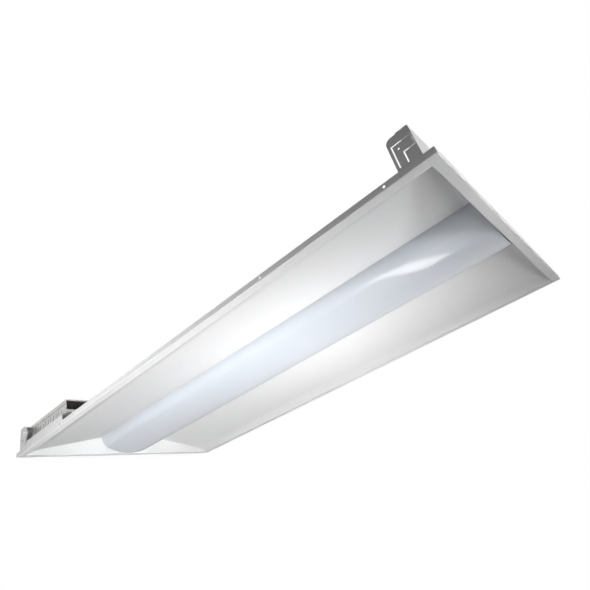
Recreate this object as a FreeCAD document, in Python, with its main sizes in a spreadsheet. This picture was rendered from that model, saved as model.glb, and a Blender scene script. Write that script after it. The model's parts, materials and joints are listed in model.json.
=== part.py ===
import FreeCAD, Part
import math
import os
import Sketcher

# Recessed lay-in troffer light for a 2 x 4 ft ceiling grid.
# Two white side reflectors slope up from the flange to a central trough lens. End plates
# close the ends and carry a grid clip at each corner. A galvanised spine bridges the
# reflectors over the lens and holds the light boards. The driver sits in a galvanised
# tray over the left reflector.
# Frame: X along the length, Y across, Z up. The origin is the centre of the flange's
# underside, which rests on the grid. The far end is at -X and the left side at -Y.

SIZES = (
    ("overall_length", "1213"),       # outside of the end lips
    ("overall_width", "603"),         # outside of the side lips
    ("top_height", "67"),             # top of the end plates
    ("sheet", "0.8"),                 # steel sheet, all folded pieces
    ("fold_radius", "1.5"),           # outside radius of a sharp fold
    ("seam_gap", "0.3"),              # clearance between sheets that meet
    ("lip_height", "10.4"),           # turned-up lip round the flange
    ("side_flange", "17"),            # flange under the long sides
    ("end_flange", "16"),             # flange under the short ends
    ("rise_width", "16"),             # steep first part of the reflector, across
    ("rise_height", "12"),            # and up
    ("rise_fold_radius", "3"),        # fold from flange to rise
    ("cove_radius", "50"),            # soft bend from rise to slope
    ("throat_height", "47"),          # where the slope meets the lens
    ("hem_drop", "6"),                # from the top down to the hem of its inner wall
    ("hem_width", "19.4"),            # that out-turned hem
    ("lens_half_width", "84"),        # outside of the lens walls
    ("lens_spring", "45"),            # where the lens starts to curve
    ("lens_bottom", "1"),             # lowest point of the lens
    ("lens_side_radius", "30"),       # tight curve at the lens's sides
    ("lens_wall", "1.6"),             # acrylic
    ("lens_gap", "0.6"),              # lens to reflector
    ("lens_ledge", "4"),              # out-turned edge that rests on the hems
    ("wall_lean", "1.5"),             # inward lean of the end wall
    ("top_flange", "18"),             # in-turned flange on the end wall
    ("hanger_radius", "3"),           # support wire holes in that flange
    ("hanger_offset", "200"),         # each side of the centre line
    ("cheek_length", "36"),           # side flange folded from the end wall
    ("cheek_corner", "9"),            # its rounded upper corner
    ("cheek_relief", "0.6"),          # under the top flange
    ("clip_slot", "2"),               # slots that free the clip from the cheek
    ("clip_foot", "15"),              # lower end of the clip's leg
    ("clip_low", "34"),               # underside of the clip's arm
    ("clip_high", "50"),              # top of the arm
    ("clip_leg", "10.4"),             # width of the leg
    ("clip_reach", "28"),             # hinge line to the leg's outer edge
    ("clip_end_gap", "0.3"),          # under the leg
    ("clip_hole_radius", "1.6"),      # small hole in the arm
    ("clip_hole_reach", "21"),        # hinge line to that hole
    ("clip_relief", "6"),             # slot on the bend line, height
    ("spine_foot", "13"),             # foot of the spine on the hem
    ("spine_lean", "1.5"),            # lean of the spine's side wall
    ("lip_hole_radius", "2.2"),       # holes in the long lips
    ("lip_hole_height", "5.2"),
    ("lip_hole_inset", "75.7"),       # first hole, from the near end
    ("lip_hole_pitch", "233.6"),      # and on to the second
    ("screw_shank", "1.6"),           # radius of the sheet-metal screws
    ("screw_head", "3.2"),            # radius of their heads
    ("screw_rise", "1.6"),            # height of their heads
    ("screw_gap", "0.15"),            # clearance round a shank
    ("screw_point", "1"),             # a shank beyond the last sheet it holds
    ("spine_screw_inset", "106.5"),   # outer screws in the spine's feet, from the ends
    ("end_screw_offset", "40"),       # screws in the end plates' top flanges, each side
    ("board_width", "20"),            # light boards
    ("board_thickness", "1.6"),
    ("board_offset", "35"),           # centre line of each row of boards
    ("board_split", "8"),             # half of the gap between two boards
    ("board_end_gap", "20.7"),        # from a board to the end plate
    ("chip_size", "3"),
    ("chip_rise", "0.7"),
    ("link_length", "14"),            # connectors on the boards
    ("link_depth", "8"),
    ("link_height", "3.2"),
    ("wire_radius", "1"),
    ("wire_spacing", "6"),
    ("tray_end_gap", "25.7"),         # driver tray, from the far end plate
    ("tray_side_gap", "15.5"),        # its outer wall, from the cheek
    ("tray_floor", "33"),             # underside
    ("tray_drop", "5"),               # from the top down to its walls
    ("tray_lip", "43.5"),             # top of the turned-up near end
    ("lid_skirt", "9"),               # long sides of the lid, turned down
    ("lid_end", "3"),                 # its short ends
    ("lid_gap", "0.3"),               # lid round the tray
    ("lid_screw_rise", "2.6"),        # its screws over the skirt's edge
    ("vent_length", "12"),            # vents in the tray's outer wall
    ("vent_width", "3"),
    ("vent_pitch", "14"),
    ("supply_radius", "11.1"),        # supply opening in the lid
    ("supply_end_inset", "43"),       # from the tray's far end
    ("supply_inset", "60"),           # from the tray's outer wall
    ("bracket_inset", "11"),          # tray bracket, from the tray's far end
    ("bracket_length", "192"),
    ("bracket_leg", "25.7"),          # height of its upright
    ("bracket_slope", "16"),          # from the upright to the ledge
    ("bracket_ledge", "22"),          # ledge under the tray
    ("bracket_screw_near", "8.7"),    # its screws, from its near end
    ("bracket_screw_far", "3.9"),     # and from its far end
    ("bracket_screw_height", "4.5"),
    ("tray_screw_inset", "48"),       # from the bracket's ends
    ("driver_length", "132"),
    ("driver_width", "42"),
    ("driver_height", "24"),
    ("driver_end_inset", "29"),       # case to the tray's near end
    ("driver_far_gap", "15"),         # its terminals to the tray's far end
    ("driver_inset", "46.6"),         # case to the tray's outer wall
    ("driver_corner", "3"),
    ("driver_ear", "8"),              # mounting ears, outwards
    ("driver_ear_width", "12"),
    ("driver_ear_thickness", "2"),
    ("terminal_length", "12"),        # terminal blocks at the case's ends
    ("terminal_width", "22"),
    ("terminal_height", "20"),
    ("terminal_wire", "14.7"),        # wire height over the tray's floor
    ("connector_length", "28"),       # supply connector in the tray
    ("connector_width", "16"),
    ("connector_height", "12"),
    ("connector_inset", "12.6"),
    ("supply_wire_height", "7.2"),
    ("supply_wire_pitch", "3.4"),
    ("ground_inset", "15"),           # earth screw, from the near end
    ("ground_offset", "33.6"),        # and from the tray's outer wall
    ("bushing_bore", "7.5"),
    ("bushing_sleeve", "10"),
    ("bushing_flange", "12"),
    ("bushing_length", "15"),
    ("bushing_inset", "22.6"),        # its middle, from the tray's outer wall
    ("lead_inset", "23"),             # the leads, from the tray's near end
    ("lead_bend", "34"),              # radius of the leads' bends
    ("lead_run", "46"),               # they start to climb this far from the hem
    ("lead_clear", "8"),              # and are level again this far from it
    ("lead_exit", "8"),               # height of the slot they leave the tray by
    ("grommet_length", "14"),
    ("grommet_depth", "4"),           # outwards from the spine's side wall
)
VENTS = 11
CHIPS = 24
SCREWED_CHIPS = (1, 12, 23)           # a board screw comes before each of these chips
SCREW_SIDES = 8                       # small shanks and their holes are drawn eight-sided
WIRE_SIDES = 8                        # and so are the leads
HEAD_SIDES = 6
NEAR = 1
FAR = -1
LEFT = -1
RIGHT = 1

doc = FreeCAD.newDocument("Troffer")
sheet = doc.addObject("Spreadsheet::Sheet", "Sizes")
for row, (name, number) in enumerate(SIZES, 1):
    sheet.set(f"A{row}", name)
    sheet.set(f"B{row}", number)
    sheet.setAlias(f"B{row}", name)
doc.recompute()


def text(value):
    """The expression of a size, or a plain number written out."""
    return value.text if isinstance(value, Size) else f"{value:.6g}"


class Size:
    """A length with its number and the expression over the sheet that gives it."""

    def __init__(self, words, number):
        self.text = words
        self.number = float(number)

    def __float__(self):
        return self.number

    def __neg__(self):
        return Size(f"(-1 * {self.text})", -self.number)

    def __add__(self, other):
        return Size(f"({self.text} + {text(other)})", self.number + float(other))

    def __sub__(self, other):
        return Size(f"({self.text} - {text(other)})", self.number - float(other))

    def __rsub__(self, other):
        return Size(f"({text(other)} - {self.text})", float(other) - self.number)

    def __mul__(self, other):
        return Size(f"({self.text} * {text(other)})", self.number * float(other))

    def __truediv__(self, other):
        return Size(f"({self.text} / {text(other)})", self.number / float(other))

    def root(self):
        return Size(f"sqrt({self.text})", math.sqrt(self.number))

    __radd__ = __add__
    __rmul__ = __mul__


class Namespace:
    """One attribute for each size in the sheet."""

    def __init__(self):
        for name, _ in SIZES:
            setattr(self, name, Size(f"Sizes.{name}", sheet.get(name)))


S = Namespace()

HALF_LENGTH = S.overall_length / 2
HALF_WIDTH = S.overall_width / 2
WALL_FOOT = HALF_LENGTH - S.end_flange
WALL_HEAD = WALL_FOOT - S.wall_lean
PANEL_END = WALL_HEAD - S.seam_gap
LIP_INSIDE = HALF_WIDTH - S.sheet - S.seam_gap
EDGE = LIP_INSIDE - S.seam_gap
THROAT = S.lens_half_width + S.lens_gap
RISE_FOOT = HALF_WIDTH - S.side_flange
RISE_HEAD = RISE_FOOT - S.rise_width
SLOPE = (S.throat_height - S.rise_height) / (RISE_HEAD - THROAT)
UPRIGHT_SHEET = S.sheet * (1 + SLOPE * SLOPE).root()
HEM_HEIGHT = S.top_height - S.hem_drop
TOP_FLANGE_UNDER = S.top_height - S.sheet
WEB_TOP = TOP_FLANGE_UNDER - S.seam_gap
WEB_UNDER = WEB_TOP - S.sheet
HINGE = WALL_HEAD - S.sheet / 2
CHEEK_MIDDLE = EDGE - S.sheet / 2
FLOOR_TOP = S.tray_floor + S.sheet
TRAY_TOP = S.top_height - S.tray_drop
TRAY_FAR = S.tray_end_gap - PANEL_END
TRAY_LENGTH = S.driver_far_gap + S.terminal_length + S.driver_length + S.driver_end_inset
TRAY_NEAR = TRAY_FAR + TRAY_LENGTH
TRAY_EDGE = EDGE - S.tray_side_gap
TRAY_SEAT = RISE_HEAD - (S.tray_floor - S.seam_gap - UPRIGHT_SHEET - S.rise_height) / SLOPE
BRACKET_FAR = TRAY_FAR + S.bracket_inset
BRACKET_NEAR = BRACKET_FAR + S.bracket_length
BRACKET_SCREWS = (BRACKET_NEAR - S.bracket_screw_near, BRACKET_FAR + S.bracket_screw_far)
DRIVER_NEAR = TRAY_NEAR - S.driver_end_inset
DRIVER_FAR = DRIVER_NEAR - S.driver_length
LEAD_PLACE = TRAY_NEAR - S.lead_inset
SCREW_HOLE = S.screw_shank + S.screw_gap
HEM_SCREWS = THROAT + S.hem_width - S.spine_foot / 2
BOARD_LENGTH = PANEL_END - S.board_end_gap - S.board_split
BOARD_UNDER = WEB_UNDER - S.board_thickness
WIRE_LEVEL = WEB_UNDER - S.wire_radius - 2 * S.screw_gap

AXES = {
    "+x": FreeCAD.Rotation(FreeCAD.Vector(0, 1, 0), 90),
    "-x": FreeCAD.Rotation(FreeCAD.Vector(0, 1, 0), -90),
    "+y": FreeCAD.Rotation(FreeCAD.Vector(1, 0, 0), -90),
    "-y": FreeCAD.Rotation(FreeCAD.Vector(1, 0, 0), 90),
    "+z": FreeCAD.Rotation(),
    "-z": FreeCAD.Rotation(FreeCAD.Vector(1, 0, 0), 180),
}
ACROSS = FreeCAD.Rotation(FreeCAD.Vector(1, 1, 1), 120)   # sketch in the Y-Z plane
ALONG = FreeCAD.Rotation(FreeCAD.Vector(1, 0, 0), 90)     # sketch in the X-Z plane
parts = {}


def place(thing, point, turn=FreeCAD.Rotation()):
    """Put an object at a point whose coordinates follow the sheet."""
    thing.Placement = FreeCAD.Placement(FreeCAD.Vector(), turn)
    for axis, value in zip("xyz", point):
        thing.setExpression(f"Placement.Base.{axis}", text(value))
    return thing


def box(name, xs, ys, zs):
    """A block between two values on each axis, given in either order."""
    block = doc.addObject("Part::Box", name)
    corner = []
    for side, ends in zip(("Length", "Width", "Height"), (xs, ys, zs)):
        low, high = sorted(ends, key=float)
        block.setExpression(side, text(high - low))
        corner.append(low)
    return place(block, corner)


def rod(name, start, axis, radius, length):
    """A cylinder from a start point along an axis."""
    bar = doc.addObject("Part::Cylinder", name)
    bar.setExpression("Radius", text(radius))
    bar.setExpression("Height", text(length))
    return place(bar, start, AXES[axis])


def prism(name, start, axis, sides, radius, length):
    """A many-sided bar along an axis, with its corners at a radius."""
    bar = doc.addObject("Part::Prism", name)
    bar.Polygon = sides
    bar.setExpression("Circumradius", text(radius))
    bar.setExpression("Height", text(length))
    return place(bar, start, AXES[axis])


def screw_hole(name, start, axis, sheets):
    """A clearance hole for a screw, through so many sheets and one more each way."""
    back = {"+": -1, "-": 1}[axis[0]]
    middle = list(start)
    number = "xyz".index(axis[1])
    middle[number] = middle[number] + back * S.sheet
    corners = SCREW_HOLE / math.cos(math.pi / SCREW_SIDES)
    return prism(name, middle, axis, SCREW_SIDES, corners, (sheets + 2) * S.sheet)


def join(name, pieces):
    """One solid from pieces that meet."""
    union = doc.addObject("Part::MultiFuse", name)
    union.Shapes = pieces
    union.Refine = True
    return union


def group(name, pieces):
    """Separate solids kept as one sub-part."""
    cluster = doc.addObject("Part::Compound", name)
    cluster.Links = pieces
    return cluster


def cut(name, base, tools):
    """The base less every tool."""
    rest = doc.addObject("Part::Cut", name)
    rest.Base = base
    rest.Tool = tools[0] if len(tools) == 1 else group(name + "_tools", tools)
    return rest


class Drawing:
    """A sketch whose held values are tied to the sheet once the whole of it is drawn."""

    def __init__(self, sketch):
        self.sketch = sketch
        self.held = []

    def draw(self, shape, helper=False):
        return self.sketch.addGeometry(shape, helper)

    def line(self, start, stop):
        return self.draw(Part.LineSegment(start, stop))

    def rule(self, *details):
        return self.sketch.addConstraint(Sketcher.Constraint(*details))

    def hold(self, value, *details):
        self.held.append((self.rule(*details, float(value)), value))

    def fix(self, geometry, point, spot):
        for kind, value in zip(("DistanceX", "DistanceY"), spot):
            self.hold(value, kind, -1, 1, geometry, point)

    def finish(self):
        for number, value in self.held:
            self.sketch.setExpression(f"Constraints[{number}]", text(value))
        return self.sketch


def fold_at(before, corner, after, radius):
    """The centre of the arc that rounds a corner between two runs, and its two ends."""
    back = (before - corner).normalize()
    ahead = (after - corner).normalize()
    half = back.getAngle(ahead) / 2
    reach = radius / math.tan(half)
    centre = corner + (back + ahead).normalize() * (radius / math.sin(half))
    return centre, corner + back * reach, corner + ahead * reach


def fold_line(name, points, radii, turn):
    """A sketch of straight runs whose corners are held by the sheet and rounded."""
    sketch = doc.addObject("Sketcher::SketchObject", name)
    sketch.Placement = FreeCAD.Placement(FreeCAD.Vector(), turn)
    drawing = Drawing(sketch)
    corners = [FreeCAD.Vector(float(u), float(v), 0) for u, v in points]
    folds = {i: fold_at(*corners[i - 1:i + 2], float(radius)) for i, radius in radii.items()}
    runs = []
    for i in range(len(corners) - 1):
        start = folds[i][2] if i in folds else corners[i]
        stop = folds[i + 1][1] if i + 1 in folds else corners[i + 1]
        runs.append(drawing.line(start, stop))
    drawing.fix(runs[0], 1, points[0])
    drawing.fix(runs[-1], 2, points[-1])
    for i in range(1, len(corners) - 1):
        if i in folds:
            mark = drawing.draw(Part.Point(corners[i]), True)
            drawing.fix(mark, 1, points[i])
            add_fold(drawing, folds[i], runs[i - 1], runs[i], mark, radii[i])
        else:
            drawing.rule("Coincident", runs[i - 1], 2, runs[i], 1)
            drawing.fix(runs[i], 1, points[i])
    return drawing.finish()


def add_fold(drawing, fold, before, after, mark, radius):
    """Round the corner between two runs, whose lines still meet at the mark."""
    centre, first, last = fold
    leftward = (first - centre).cross(last - centre).z > 0
    entry, leave = (1, 2) if leftward else (2, 1)
    angles = [math.atan2(end.y - centre.y, end.x - centre.x) for end in (first, last)]
    if not leftward:
        angles.reverse()
    if angles[1] < angles[0]:
        angles[1] += 2 * math.pi
    circle = Part.Circle(centre, FreeCAD.Vector(0, 0, 1), float(radius))
    bend = drawing.draw(Part.ArcOfCircle(circle, *angles))
    drawing.rule("Tangent", before, 2, bend, entry)
    drawing.rule("Tangent", bend, leave, after, 1)
    drawing.hold(radius, "Radius", bend)
    drawing.rule("PointOnObject", mark, 1, before)
    drawing.rule("PointOnObject", mark, 1, after)


def sheet_from(name, line, thickness, direction, length):
    """A folded sheet: the line made thick on one side and run out both ways."""
    skin = doc.addObject("Part::Offset2D", name + "_section")
    skin.Source = line
    skin.Mode = "Skin"
    skin.Join = "Intersection"
    skin.Fill = True
    skin.setExpression("Value", text(thickness))
    run = doc.addObject("Part::Extrusion", name)
    run.Base = skin
    run.DirMode = "Custom"
    run.Dir = FreeCAD.Vector(*direction)
    run.Symmetric = True
    run.Solid = True
    run.setExpression("LengthFwd", text(length))
    return run


def outline(body, name, plane, points):
    """A closed sketch of straight edges on one of the body's own planes."""
    sketch = body.newObject("Sketcher::SketchObject", name)
    base = [item for item in body.Origin.OriginFeatures if item.Role == plane][0]
    sketch.AttachmentSupport = [(base, "")]
    sketch.MapMode = "FlatFace"
    drawing = Drawing(sketch)
    corners = [FreeCAD.Vector(float(u), float(v), 0) for u, v in points]
    following = corners[1:] + corners[:1]
    edges = [drawing.line(start, stop) for start, stop in zip(corners, following)]
    for edge, spot in zip(edges, points):
        drawing.rule("Coincident", edge, 2, (edge + 1) % len(edges), 1)
        drawing.fix(edge, 1, spot)
    return drawing.finish()


def padded(name, plane, points, length):
    """A body made by padding one outline."""
    body = doc.addObject("PartDesign::Body", name)
    pad = body.newObject("PartDesign::Pad", name + "_pad")
    pad.Profile = outline(body, name + "_outline", plane, points)
    pad.setExpression("Length", text(length))
    return body, pad


def turned(name, points, start, axis):
    """A body turned about its own Z axis from radius and height pairs."""
    body = doc.addObject("PartDesign::Body", name)
    turn = body.newObject("PartDesign::Revolution", name + "_turn")
    profile = outline(body, name + "_profile", "XZ_Plane", points)
    turn.Profile = profile
    turn.ReferenceAxis = (profile, ["V_Axis"])
    turn.Angle = 360
    return place(body, start, AXES[axis])


def rectangle(half_u, half_v):
    """Corner points of a rectangle round the origin."""
    return [(-half_u, -half_v), (half_u, -half_v), (half_u, half_v), (-half_u, half_v)]


def screw(name, seat, axis, grip):
    """A hexagon-head screw: the head stands on the seat, the shank goes back through its grip."""
    back = {"+": "-", "-": "+"}[axis[0]] + axis[1]
    head = prism(name + "_head", seat, axis, HEAD_SIDES, S.screw_head, S.screw_rise)
    shank = prism(name + "_shank", seat, back, SCREW_SIDES, S.screw_shank,
                  grip + S.screw_point)
    return join(name, [head, shank])


def reflector(name, side, extra_holes):
    """Lip, flange, soft rise, slope, inner wall and hem, folded from one sheet."""
    across = [
        (HALF_WIDTH, S.lip_height),
        (HALF_WIDTH, 0 * S.sheet),
        (RISE_FOOT, 0 * S.sheet),
        (RISE_HEAD, S.rise_height),
        (THROAT, S.throat_height),
        (THROAT, HEM_HEIGHT),
        (THROAT + S.hem_width, HEM_HEIGHT),
    ]
    radii = {
        1: S.fold_radius,
        2: S.rise_fold_radius,
        3: S.cove_radius,
        4: S.rise_fold_radius,
        5: S.fold_radius,
    }
    line = fold_line(name + "_line", [(side * y, z) for y, z in across], radii, ACROSS)
    panel = sheet_from(name + "_sheet", line, side * S.sheet, (1, 0, 0), S.overall_length)
    tools = []
    for end in (NEAR, FAR):
        inside = (0 * S.sheet, side * LIP_INSIDE)
        flange_end = WALL_FOOT - S.seam_gap
        tools.append(box(f"{name}_corner{end + 1}", (end * flange_end, end * S.overall_length),
                         inside, (-S.sheet, S.top_height)))
        tools.append(box(f"{name}_end{end + 1}", (end * PANEL_END, end * S.overall_length),
                         inside, (S.sheet + S.seam_gap, S.top_height)))
    first_hole = HALF_LENGTH - S.lip_hole_inset
    holes = [(first_hole, S.lip_hole_height, S.lip_hole_radius),
             (first_hole - S.lip_hole_pitch, S.lip_hole_height, S.lip_hole_radius)]
    for number, (x, z, radius) in enumerate(holes + extra_holes):
        tools.append(rod(f"{name}_hole{number}", (x, side * (HALF_WIDTH + S.sheet), z),
                         "+y" if side == LEFT else "-y", radius, 4 * S.sheet))
    for number, x in enumerate(spine_screw_line()):
        tools.append(screw_hole(f"{name}_hem{number}", (x, side * HEM_SCREWS, HEM_HEIGHT),
                                "-z", 1))
    return cut(name, panel, tools)


def cheek(name, end, side):
    """The flange folded from the end wall along the side, with a rounded upper corner."""
    inner = WALL_FOOT - S.cheek_length
    top = TOP_FLANGE_UNDER - S.cheek_relief
    foot = S.sheet + S.seam_gap
    body, pad = padded(name, "XZ_Plane", [
        (end * (WALL_FOOT + S.sheet / 2), foot), (end * inner, foot),
        (end * inner, top), (end * (WALL_HEAD + S.sheet / 2), top)], S.sheet)
    doc.recompute()
    pad.Midplane = True
    place(body, (0, side * CHEEK_MIDDLE, 0))
    doc.recompute()
    corner = FreeCAD.Vector(end * float(inner), 0, float(top))
    edge = nearest_edge(pad, corner)
    rounding = body.newObject("PartDesign::Fillet", name + "_corner")
    rounding.Base = (pad, [edge])
    rounding.setExpression("Radius", text(S.cheek_corner))
    return body


def nearest_edge(feature, point):
    """The name of the feature's edge whose middle is nearest to a point."""
    edges = feature.Shape.Edges
    distances = [(edge.CenterOfMass - point).Length for edge in edges]
    return f"Edge{distances.index(min(distances)) + 1}"


def clip_window(name, end, side):
    """The L-shaped opening in the cheek that frees the grid clip."""
    outer = HINGE - S.clip_reach - S.clip_slot
    root = WALL_HEAD + S.seam_gap / 3
    ys = (side * (EDGE - 2 * S.sheet), side * (EDGE + S.sheet))
    arm = box(name + "_arm", (end * outer, end * root), ys,
              (S.clip_low - S.clip_slot, S.clip_high + S.clip_slot))
    leg_inside = HINGE - S.clip_reach + S.clip_leg + S.clip_slot
    leg = box(name + "_leg", (end * outer, end * leg_inside), ys,
              (S.clip_foot - S.clip_end_gap, S.clip_high))
    return join(name, [arm, leg])


def end_plate(name, end):
    """Lip, flange, leaning wall and top flange, with a cheek at each side."""
    along = [
        (HALF_LENGTH, S.lip_height),
        (HALF_LENGTH, 0 * S.sheet),
        (WALL_FOOT, 0 * S.sheet),
        (WALL_HEAD, TOP_FLANGE_UNDER),
        (WALL_HEAD - S.top_flange, TOP_FLANGE_UNDER),
    ]
    radii = {1: S.fold_radius, 2: S.fold_radius, 3: S.fold_radius}
    line = fold_line(name + "_line", [(end * x, z) for x, z in along], radii, ALONG)
    wall = sheet_from(name + "_wall", line, -end * S.sheet, (0, 1, 0), 2 * EDGE)
    plate = join(name + "_plate", [wall] + [
        cheek(f"{name}_cheek{side + 1}", end, side) for side in (LEFT, RIGHT)])
    tools = []
    for side in (LEFT, RIGHT):
        tools.append(clip_window(f"{name}_window{side + 1}", end, side))
        hanger = (end * (WALL_HEAD - S.top_flange / 2), side * S.hanger_offset,
                  TOP_FLANGE_UNDER - S.sheet)
        tools.append(rod(f"{name}_hanger{side + 1}", hanger, "+z", S.hanger_radius,
                         3 * S.sheet))
        seat = (end * (WALL_HEAD - S.top_flange / 2), side * S.end_screw_offset,
                TOP_FLANGE_UNDER)
        tools.append(screw_hole(f"{name}_screw{side + 1}", seat, "+z", 1))
    return cut(name, plate, tools)


def grid_clip(name, end, side):
    """An L-shaped tab that bends out on its root and hooks over the grid tee."""
    outer = HINGE - S.clip_reach
    leg_inside = outer + S.clip_leg
    corners = [
        (HINGE, S.clip_low), (leg_inside, S.clip_low), (leg_inside, S.clip_foot),
        (outer, S.clip_foot), (outer, S.clip_high), (HINGE, S.clip_high)]
    body, pad = padded(name + "_tab", "XZ_Plane", [(end * x, z) for x, z in corners], S.sheet)
    pad.Midplane = True
    place(body, (0, side * CHEEK_MIDDLE, 0))
    middle = (S.clip_low + S.clip_high) / 2
    relief = box(name + "_relief", (end * (HINGE - 3 * S.sheet / 2), end * (HINGE + S.sheet)),
                 (side * (EDGE - 2 * S.sheet), side * (EDGE + S.sheet)),
                 (middle - S.clip_relief / 2, middle + S.clip_relief / 2))
    hole = rod(name + "_hole", (end * (HINGE - S.clip_hole_reach),
               side * CHEEK_MIDDLE - S.sheet, middle), "+y", S.clip_hole_radius, 2 * S.sheet)
    return cut(name, body, [relief, hole])


def housing_spine(name):
    """A shallow hat channel that stands on both hems."""
    foot_outside = THROAT + S.hem_width
    foot_inside = foot_outside - S.spine_foot
    shoulder = foot_inside - S.spine_lean
    half = [(foot_outside, HEM_HEIGHT), (foot_inside, HEM_HEIGHT), (shoulder, WEB_UNDER)]
    points = [(-y, z) for y, z in half] + half[::-1]
    line = fold_line(name + "_line", points, {}, ACROSS)
    length = 2 * (PANEL_END - S.fold_radius)
    channel = sheet_from(name + "_channel", line, -S.sheet, (1, 0, 0), length)
    notch = box(name + "_notch",
                (LEAD_PLACE - S.grommet_length / 2, LEAD_PLACE + S.grommet_length / 2),
                (-(foot_outside + S.sheet), -(shoulder - 2 * S.sheet)),
                (HEM_HEIGHT - S.sheet, WEB_UNDER))
    tools = [notch]
    for number, (x, y) in enumerate(spine_screw_places()):
        tools.append(screw_hole(f"{name}_foot{number}", (x, y, HEM_HEIGHT), "+z", 1))
    for number, (x, y) in enumerate(end_screw_places() + board_screw_places()):
        tools.append(screw_hole(f"{name}_web{number}", (x, y, WEB_UNDER), "+z", 1))
    return cut(name, channel, tools)


def spine_screw_line():
    """Where the screws come along each foot of the spine."""
    return [place * (HALF_LENGTH - S.spine_screw_inset) for place in (FAR, 0, NEAR)]


def spine_screw_places():
    """Along the middle of both feet."""
    return [(x, side * HEM_SCREWS) for side in (LEFT, RIGHT) for x in spine_screw_line()]


def end_screw_places():
    """Two through each end plate's top flange."""
    return [(end * (WALL_HEAD - S.top_flange / 2), side * S.end_screw_offset)
            for end in (FAR, NEAR) for side in (LEFT, RIGHT)]


def board_screw_line():
    """Where the screws come along a board, from the middle of the light."""
    return [S.board_split + chip * BOARD_LENGTH / CHIPS for chip in SCREWED_CHIPS]


def board_screw_places():
    """Three along the middle of every board."""
    return [(end * x, side * S.board_offset) for end in (FAR, NEAR)
            for side in (LEFT, RIGHT) for x in board_screw_line()]


def lens(name):
    """An acrylic trough: two walls, tight side curves and a flat curve beneath."""
    depth = S.lens_spring - S.lens_bottom
    arm = S.lens_half_width - S.lens_side_radius
    wide = (arm * arm + depth * depth - S.lens_side_radius * S.lens_side_radius) / (
        2 * (depth - S.lens_side_radius))
    line = lens_line(name + "_line", arm, wide)
    return sheet_from(name, line, -S.lens_wall, (1, 0, 0), 2 * PANEL_END)


def lens_line(name, arm, wide):
    """The lens's outer line: ledge, wall, three tangent arcs, wall, ledge."""
    sketch = doc.addObject("Sketcher::SketchObject", name)
    sketch.Placement = FreeCAD.Placement(FreeCAD.Vector(), ACROSS)
    drawing = Drawing(sketch)
    ledge = S.lens_half_width + S.lens_ledge
    left_wall = lens_side(drawing, -ledge, -S.lens_half_width)
    right_wall = lens_side(drawing, ledge, S.lens_half_width)
    rise = wide + S.lens_bottom - S.lens_spring
    swing = math.atan2(rise, arm)
    left = arc_in(drawing, (-arm, S.lens_spring), S.lens_side_radius, math.pi, math.pi + swing)
    right = arc_in(drawing, (arm, S.lens_spring), S.lens_side_radius, -swing, 0)
    floor = arc_in(drawing, (0, S.lens_spring + rise), wide, math.pi + swing,
                   2 * math.pi - swing)
    drawing.rule("Tangent", left_wall, 2, left, 1)
    drawing.rule("Tangent", left, 2, floor, 1)
    drawing.rule("Tangent", floor, 2, right, 1)
    drawing.rule("Tangent", right, 2, right_wall, 2)
    return drawing.finish()


def lens_side(drawing, ledge, half):
    """The ledge on the hem and the upright wall below it."""
    edge = FreeCAD.Vector(float(ledge), float(HEM_HEIGHT), 0)
    top = FreeCAD.Vector(float(half), float(HEM_HEIGHT), 0)
    low = FreeCAD.Vector(float(half), float(S.lens_spring), 0)
    rest = drawing.line(edge, top)
    wall = drawing.line(top, low)
    drawing.fix(rest, 1, (ledge, HEM_HEIGHT))
    drawing.fix(wall, 1, (half, HEM_HEIGHT))
    drawing.fix(wall, 2, (half, S.lens_spring))
    drawing.rule("Coincident", rest, 2, wall, 1)
    return wall


def arc_in(drawing, centre, radius, first, last):
    """An arc of a held radius between two angles."""
    middle = FreeCAD.Vector(*map(float, centre), 0)
    circle = Part.Circle(middle, FreeCAD.Vector(0, 0, 1), float(radius))
    arc = drawing.draw(Part.ArcOfCircle(circle, first, last))
    drawing.hold(radius, "Radius", arc)
    return arc


def led_board(name, end, side):
    """A long narrow board, flat under the spine, with its screw holes."""
    y = side * S.board_offset
    ends = (end * S.board_split, end * (S.board_split + BOARD_LENGTH))
    board = box(name + "_blank", ends, (y - S.board_width / 2, y + S.board_width / 2),
                (BOARD_UNDER, WEB_UNDER))
    tools = [screw_hole(f"{name}_hole{number}", (end * x, y, BOARD_UNDER), "+z",
                        S.board_thickness / S.sheet)
             for number, x in enumerate(board_screw_line())]
    return cut(name, board, tools)


def led_chips(name, side):
    """One row of light chips under two boards."""
    chips = []
    half = S.chip_size / 2
    y = side * S.board_offset
    for end in (FAR, NEAR):
        for chip in range(CHIPS):
            x = end * (S.board_split + (chip + 0.5) * BOARD_LENGTH / CHIPS)
            chips.append(box(f"{name}_{end + 1}_{chip}", (x - half, x + half),
                             (y - half, y + half), (BOARD_UNDER - S.chip_rise, BOARD_UNDER)))
    return group(name, chips)


def board_screws(name):
    """Screws up through the boards into the spine."""
    screws = []
    for number, (x, y) in enumerate(board_screw_places()):
        screws.append(screw(f"{name}_{number}", (x, y, BOARD_UNDER), "-z",
                            S.board_thickness + S.sheet))
    return group(name, screws)


def board_links(name):
    """Connectors that bridge the two boards of each row."""
    links = []
    for side in (LEFT, RIGHT):
        half = S.board_width / 4
        y = side * S.board_offset
        links.append(box(f"{name}_{side + 1}", (-S.link_length, S.link_length),
                         (y - half, y + half), (BOARD_UNDER - S.link_height, BOARD_UNDER)))
    return group(name, links)


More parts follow.
